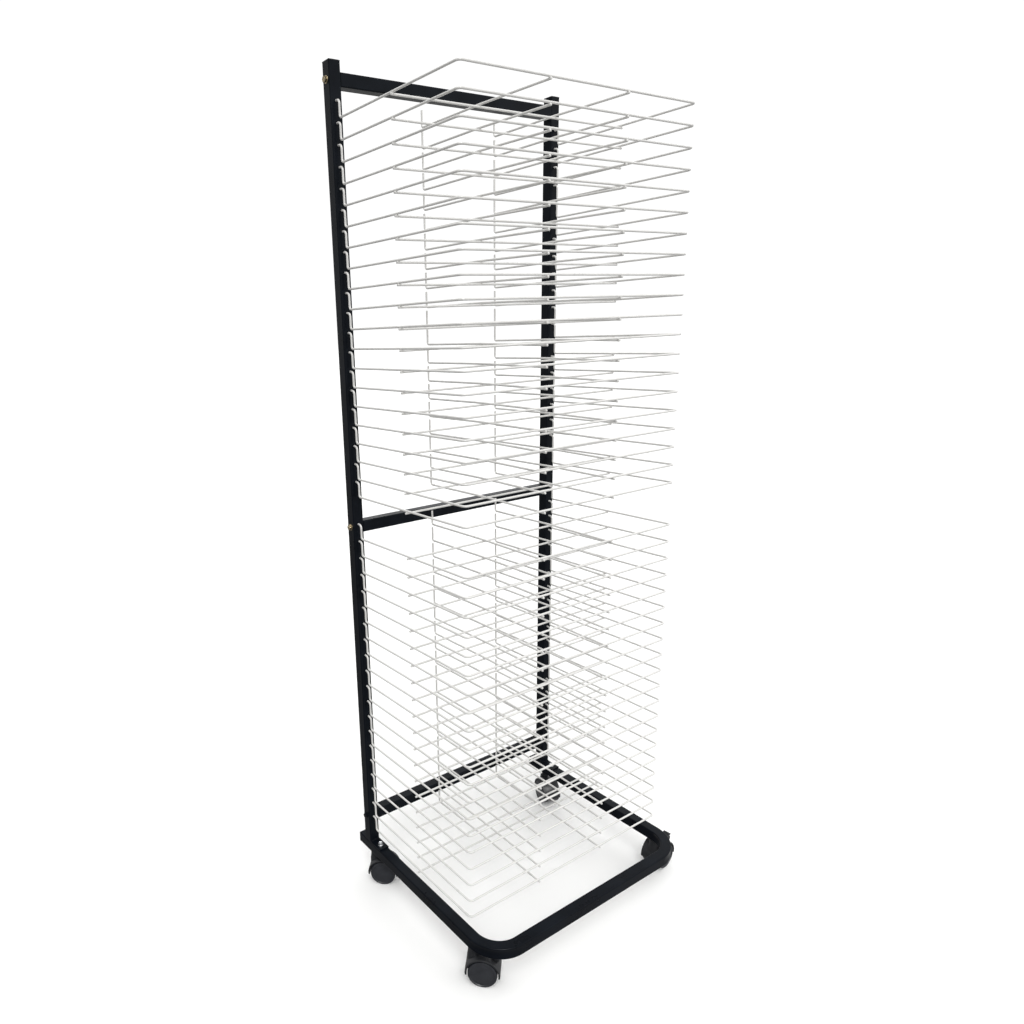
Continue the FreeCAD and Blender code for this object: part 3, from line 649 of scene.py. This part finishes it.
def hood_boss(bm, sizes, axle, top):
    """Round boss for the stem, flared where it runs down into the arch, its foot cut on a slope."""
    outside = sizes.wheel / 2 + sizes.hood_gap + sizes.hood_wall
    arch = axle.z + math.sqrt(outside ** 2 - axle.x ** 2)
    outline = [(0, arch - 0.019), (0.0122, arch - 0.019), (0.0118, arch - 0.0005), (0.0108, arch + 0.0045),
               (0.0102, arch + 0.009), (0.01, arch + 0.0125), (0.01, top - 0.0012), (0.0088, top),
               (0.0042, top), (0.0042, top - 0.003), (0, top - 0.003)]
    made = turned(bm, outline, 40)
    geometry = list({item for v in made for item in (v, *v.link_edges, *v.link_faces)})
    cut = bmesh.ops.bisect_plane(
        bm, geom=geometry, dist=1e-7, plane_co=(0, 0, arch - 0.0037), plane_no=(-0.8, 0, 1), clear_inner=True
    )
    rim = [item for item in cut["geom_cut"] if isinstance(item, bmesh.types.BMEdge)]
    bmesh.ops.holes_fill(bm, edges=rim, sides=0)


def carve(bm, cutter):
    """Cut one closed shape out of another, and return what is left as a new bmesh."""
    things = []
    for shape in (bm, cutter):
        mesh = bpy.data.meshes.new("carving")
        shape.to_mesh(mesh)
        shape.free()
        things.append(bpy.data.objects.new("carving", mesh))
        bpy.context.scene.collection.objects.link(things[-1])
    cut = things[0].modifiers.new("cut", "BOOLEAN")
    cut.operation, cut.solver, cut.object = "DIFFERENCE", "EXACT", things[1]
    left = bmesh.new()
    left.from_mesh(things[0].evaluated_get(bpy.context.evaluated_depsgraph_get()).to_mesh())
    for thing in things:
        mesh = thing.data
        bpy.data.objects.remove(thing)
        bpy.data.meshes.remove(mesh)
    return left


class RACK_OT_hoods(bpy.types.Operator):
    """Mould the hoods: an arch over the wheels, a web, a boss, and ears for a brake lever"""

    bl_idname = "rack.hoods"
    bl_label = "Hoods"

    def execute(self, context):
        sizes = context.scene.rack_sizes
        material = moulded_nylon("black_nylon", context.scene.rack_colours.hood, (0.4, 0.55))
        for name in CASTERS:
            place, axle = caster_place(name)
            node_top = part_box(name + "_hood")[1].z
            bm = bmesh.new()
            hood_shell(bm, sizes, axle)
            if name in BRAKED:
                pin = lever_pin(name, place)
                notch = bmesh.new()
                turned(notch, pin_outline(0.0115, 0.0091), 48, Matrix.Translation(pin) @ STAND_TO_Y)
                bm = carve(bm, notch)
                for way in (-1, 1):
                    hood_ear(bm, pin, axle, way)
            hub = pin_outline(sizes.hub, sizes.web / 2, 0.0005)
            turned(bm, hub, 36, Matrix.Translation(axle) @ STAND_TO_Y)
            hood_boss(bm, sizes, axle, node_top)
            bmesh.ops.transform(bm, matrix=place, verts=bm.verts)
            body, node = name + "_caster", name + "_hood"
            piece_from(bm, name + "_moulded_hood", body, material, [node])
        return {"FINISHED"}


def lever_pin(name, place):
    """The brake lever's pin in the caster's own frame."""
    return place.inverted() @ Vector(JOINTS[name + "_brake_press"]["pos_m"])


def hood_ear(bm, pin, axle, way):
    """A round ear beside the lever, drawn down into the arch."""
    middle = way * 0.0106
    outline = pin_outline(0.007, 0.0015, 0.0005)
    for spot in (pin, pin.lerp(axle, 0.13)):
        turned(bm, outline, 32, Matrix.Translation((spot.x, middle, spot.z)) @ STAND_TO_Y)


class RACK_OT_levers(bpy.types.Operator):
    """Hang the brake levers: a ribbed pedal, a hub on its pin and a nose over the wheels"""

    bl_idname = "rack.levers"
    bl_label = "Brake levers"

    def execute(self, context):
        sizes = context.scene.rack_sizes
        material = moulded_nylon("black_nylon_lever", context.scene.rack_colours.hood, (0.38, 0.5))
        wide, end = sizes.lever_width, sizes.lever_width / 2
        pedal_long, pedal_thick, droop = 0.0128, 0.0028, math.radians(-20)
        nose_long, nose_thick, fall = 0.0087, 0.004, math.radians(-255)
        for name in BRAKED:
            place, axle = caster_place(name)
            pin = lever_pin(name, place)
            at_pin = Matrix.Translation(pin)
            bm = bmesh.new()
            turned(bm, pin_outline(sizes.lever_hub, end, 0.0005), 32, at_pin @ STAND_TO_Y)
            turned(bm, pin_outline(0.002, 0.0121), 20, at_pin @ STAND_TO_Y)
            pedal = at_pin @ Matrix.Rotation(droop, 4, "Y")
            block(bm, (pedal_long, wide, pedal_thick), pedal @ Matrix.Translation((0.0074, 0, 0)))
            tip = pedal @ Matrix.Translation((0.0136, 0, 0)) @ STAND_TO_Y
            turned(bm, pin_outline(pedal_thick / 2, end), 20, tip)
            for rib in range(4):
                spot = pedal @ Matrix.Translation((0.0062 + 0.0022 * rib, 0, pedal_thick / 2))
                block(bm, (0.0008, wide - 0.003, 0.0012), spot)
            nose = at_pin @ Matrix.Rotation(fall, 4, "Y")
            middle = nose @ Matrix.Translation((nose_long / 2, 0, 0))
            block(bm, (nose_long, wide, nose_thick), middle)
            pad = nose @ Matrix.Translation((nose_long, 0, 0)) @ STAND_TO_Y
            turned(bm, pin_outline(nose_thick / 2, end), 20, pad)
            bmesh.ops.transform(bm, matrix=place, verts=bm.verts)
            body, node = name + "_brake", name + "_brake_lever"
            piece_from(bm, name + "_pedal", body, material, [node], rounding=EDGE_ROUNDING)
        return {"FINISHED"}


# ---- shelves -----------------------------------------------------------------------------------

def weld_spots(bm, sizes, hole):
    """Coated spot welds where a shelf's wires cross, and the rounded ends of its short wires."""
    thick = sizes.wire / 2
    plane = hole.z - sizes.hook_rise
    leg = hole.y - sizes.standoff
    halfway, front = leg - sizes.reach / 2, leg - sizes.reach
    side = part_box("right_upright")
    wide = (side[0].x + side[1].x) / 2
    lap = plane - sizes.wire / 2 + 0.00015
    weld, cap = (0.0024, 0.0024, 0.0014), 0.0006
    for way in (-1, 1):
        inner = way * sizes.inner_line
        for spot in ((inner, halfway, lap), (inner, front, lap), (way * wide, halfway, lap)):
            blob(bm, spot, weld)
        under = plane - sizes.wire + 0.0003
        blob(bm, (way * (wide + 0.004), halfway, under), (cap, thick, thick))
        blob(bm, (inner, front - thick - 0.001, under), (thick, cap, thick))
        blob(bm, (inner, leg, hole.z), (thick, thick, cap))


class RACK_OT_shelves(bpy.types.Operator):
    """Coat the wire shelves and show their spot welds"""

    bl_idname = "rack.shelves"
    bl_label = "Shelves"

    def execute(self, context):
        material = gloss_wire_coat(context.scene.rack_colours.wire_coat)
        dress(SHELVES, material)
        for name in SHELVES:
            bm = bmesh.new()
            weld_spots(bm, context.scene.rack_sizes, Vector(JOINTS[name + "_lift"]["pos_m"]))
            piece_from(bm, name + "_welds", name, material)
        return {"FINISHED"}


# ---- studio ------------------------------------------------------------------------------------

class RACK_OT_stage(bpy.types.Operator):
    """Lay the floor, hang the soft lights and set the camera"""

    bl_idname = "rack.stage"
    bl_label = "Studio"

    def execute(self, context):
        scene = context.scene
        bm = bmesh.new()
        bmesh.ops.create_circle(bm, cap_ends=True, segments=96, radius=60)
        mesh = bpy.data.meshes.new("floor")
        bm.to_mesh(mesh)
        bm.free()
        mesh.materials.append(floor_paper(scene.rack_colours.floor))
        floor = bpy.data.objects.new("floor", mesh)
        scene.collection.objects.link(floor)

        # The floor is left out of the bounced light, so that a darker studio below shades undersides.
        floor.visible_diffuse = floor.visible_glossy = False

        world = bpy.data.worlds.new("studio")
        world.use_nodes = True
        tree = world.node_tree
        where = add_node(tree, "ShaderNodeTexCoord").outputs["Generated"]
        way = add_node(tree, "ShaderNodeSeparateXYZ", links={"Vector": where}).outputs
        below = {"From Min": -0.3, "From Max": -0.03, "To Min": 0.45, "To Max": 1.06}
        lower = add_node(tree, "ShaderNodeMapRange", below, {"Value": way["Z"]}).outputs["Result"]
        beside = {"From Min": -0.6, "From Max": -0.15, "To Min": 0.5, "To Max": 1.0}
        flagged = add_node(tree, "ShaderNodeMapRange", beside, {"Value": way["X"]}).outputs["Result"]
        dimmed = add_node(tree, "ShaderNodeMath", {"operation": "MULTIPLY"}, {0: lower, 1: flagged})
        # Seen directly, the studio is plain white all round.
        seen = add_node(tree, "ShaderNodeLightPath").outputs["Is Camera Ray"]
        bright = {0: dimmed.outputs["Value"], 1: seen}
        plain = add_node(tree, "ShaderNodeMath", {"operation": "MAXIMUM"}, bright)
        tree.nodes["Background"].inputs["Color"].default_value = linear("ffffff")
        tree.links.new(plain.outputs["Value"], tree.nodes["Background"].inputs["Strength"])
        scene.world = world
        scene.view_settings.view_transform = "Standard"

        # The glint is a narrow strip that only shows in reflections, so it casts no hard shadow.
        for name, spot, spread, power in (
            ("key_light", (-2.0, -2.6, 4.0), 35, 1.3),
            ("fill_light", (3.0, -1.5, 2.5), 60, 0.25),
            ("glint_light", (-1.0, -2.9, 3.1), 7, 3.5),
        ):
            lamp = bpy.data.lights.new(name, "SUN")
            lamp.angle, lamp.energy = math.radians(spread), power
            light = bpy.data.objects.new(name, lamp)
            light.location = spot
            light.rotation_euler = (-light.location).to_track_quat("-Z", "Y").to_euler()
            light.visible_diffuse = name != "glint_light"
            scene.collection.objects.link(light)

        # The focal length is in pixels of a square frame.
        lens = bpy.data.cameras.new("studio_camera")
        lens.sensor_width, focal, frame_side = 36, 760.6, 1024
        lens.lens = lens.sensor_width * focal / frame_side
        lens.shift_x, lens.shift_y = 0.1279, 0.0266
        camera = bpy.data.objects.new("studio_camera", lens)
        camera.location = (-1.0937, -1.1632, 1.2943)
        camera.rotation_euler = [math.radians(angle) for angle in (74.616, 2.469, -33.175)]
        scene.collection.objects.link(camera)
        scene.camera = camera
        return {"FINISHED"}


# ---- add-on ------------------------------------------------------------------------------------

PIECES = (
    RACK_OT_frame, RACK_OT_base, RACK_OT_foot_welds, RACK_OT_bolts, RACK_OT_plugs, RACK_OT_wheels,
    RACK_OT_hoods, RACK_OT_levers, RACK_OT_shelves, RACK_OT_stage,
)


class RACK_PT_panel(bpy.types.Panel):
    """The rack's sizes, colours and pieces"""

    bl_idname = "RACK_PT_panel"
    bl_label = "Art Drying Rack"
    bl_space_type = "VIEW_3D"
    bl_region_type = "UI"
    bl_category = "Rack"

    def draw(self, context):
        for group in (context.scene.rack_sizes, context.scene.rack_colours):
            box = self.layout.box()
            for name in group.bl_rna.properties.keys():
                if name not in ("rna_type", "name"):
                    box.prop(group, name)
        for piece in PIECES:
            self.layout.operator(piece.bl_idname)


CLASSES = (RackSizes, RackColours) + PIECES + (RACK_PT_panel,)


def register():
    """Add the classes and the scene's sizes and colours."""
    for each in CLASSES:
        bpy.utils.register_class(each)
    bpy.types.Scene.rack_sizes = PointerProperty(type=RackSizes)
    bpy.types.Scene.rack_colours = PointerProperty(type=RackColours)


def unregister():
    """Take them away again."""
    del bpy.types.Scene.rack_colours
    del bpy.types.Scene.rack_sizes
    for each in reversed(CLASSES):
        bpy.utils.unregister_class(each)


def main():
    """Make every piece in order."""
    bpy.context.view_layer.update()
    register()
    for piece in PIECES:
        group, name = piece.bl_idname.split(".")
        getattr(getattr(bpy.ops, group), name)()


if __name__ == "__main__":
    main()
